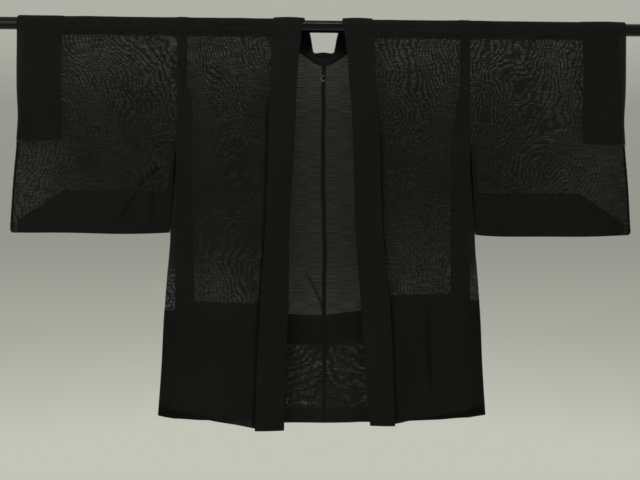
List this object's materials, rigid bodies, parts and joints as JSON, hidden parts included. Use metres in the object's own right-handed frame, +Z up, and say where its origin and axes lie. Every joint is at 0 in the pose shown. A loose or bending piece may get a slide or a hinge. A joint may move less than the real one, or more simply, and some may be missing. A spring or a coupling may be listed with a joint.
{
  "type": "haori jacket hung on a rod",
  "caption": "Sheer black summer haori jacket, open at the front, with square sleeves and a folded collar band, hung on a round black rod.",
  "frame": {"origin": "on the rod's axis, above the garment's centre-back seam", "axes": "+X along the rod towards the wearer's left, +Y from the garment's front to its back, +Z up"},
  "size_m": [1.44, 0.0682, 0.8692],
  "materials": {
    "gauze": "sheer ro gauze, one layer",
    "turned_gauze": "ro gauze turned inside, dense where layered",
    "collar_gauze": "ro gauze band folded to several layers, nearly opaque",
    "rod_finish": "glossy black"
  },
  "bodies": {
    "root": {"rod": "rod_finish", "collar": "collar_gauze", "body_right": "gauze", "sleeve_right": "gauze", "gusset_right": "gauze", "front_hem_right": "turned_gauze", "back_hem_right": "turned_gauze", "cuff_facing_right": "turned_gauze", "sleeve_turning_right": "turned_gauze", "body_left": "gauze", "sleeve_left": "gauze", "gusset_left": "gauze", "front_hem_left": "turned_gauze", "back_hem_left": "turned_gauze", "cuff_facing_left": "turned_gauze", "sleeve_turning_left": "turned_gauze"}
  },
  "joints": []
}
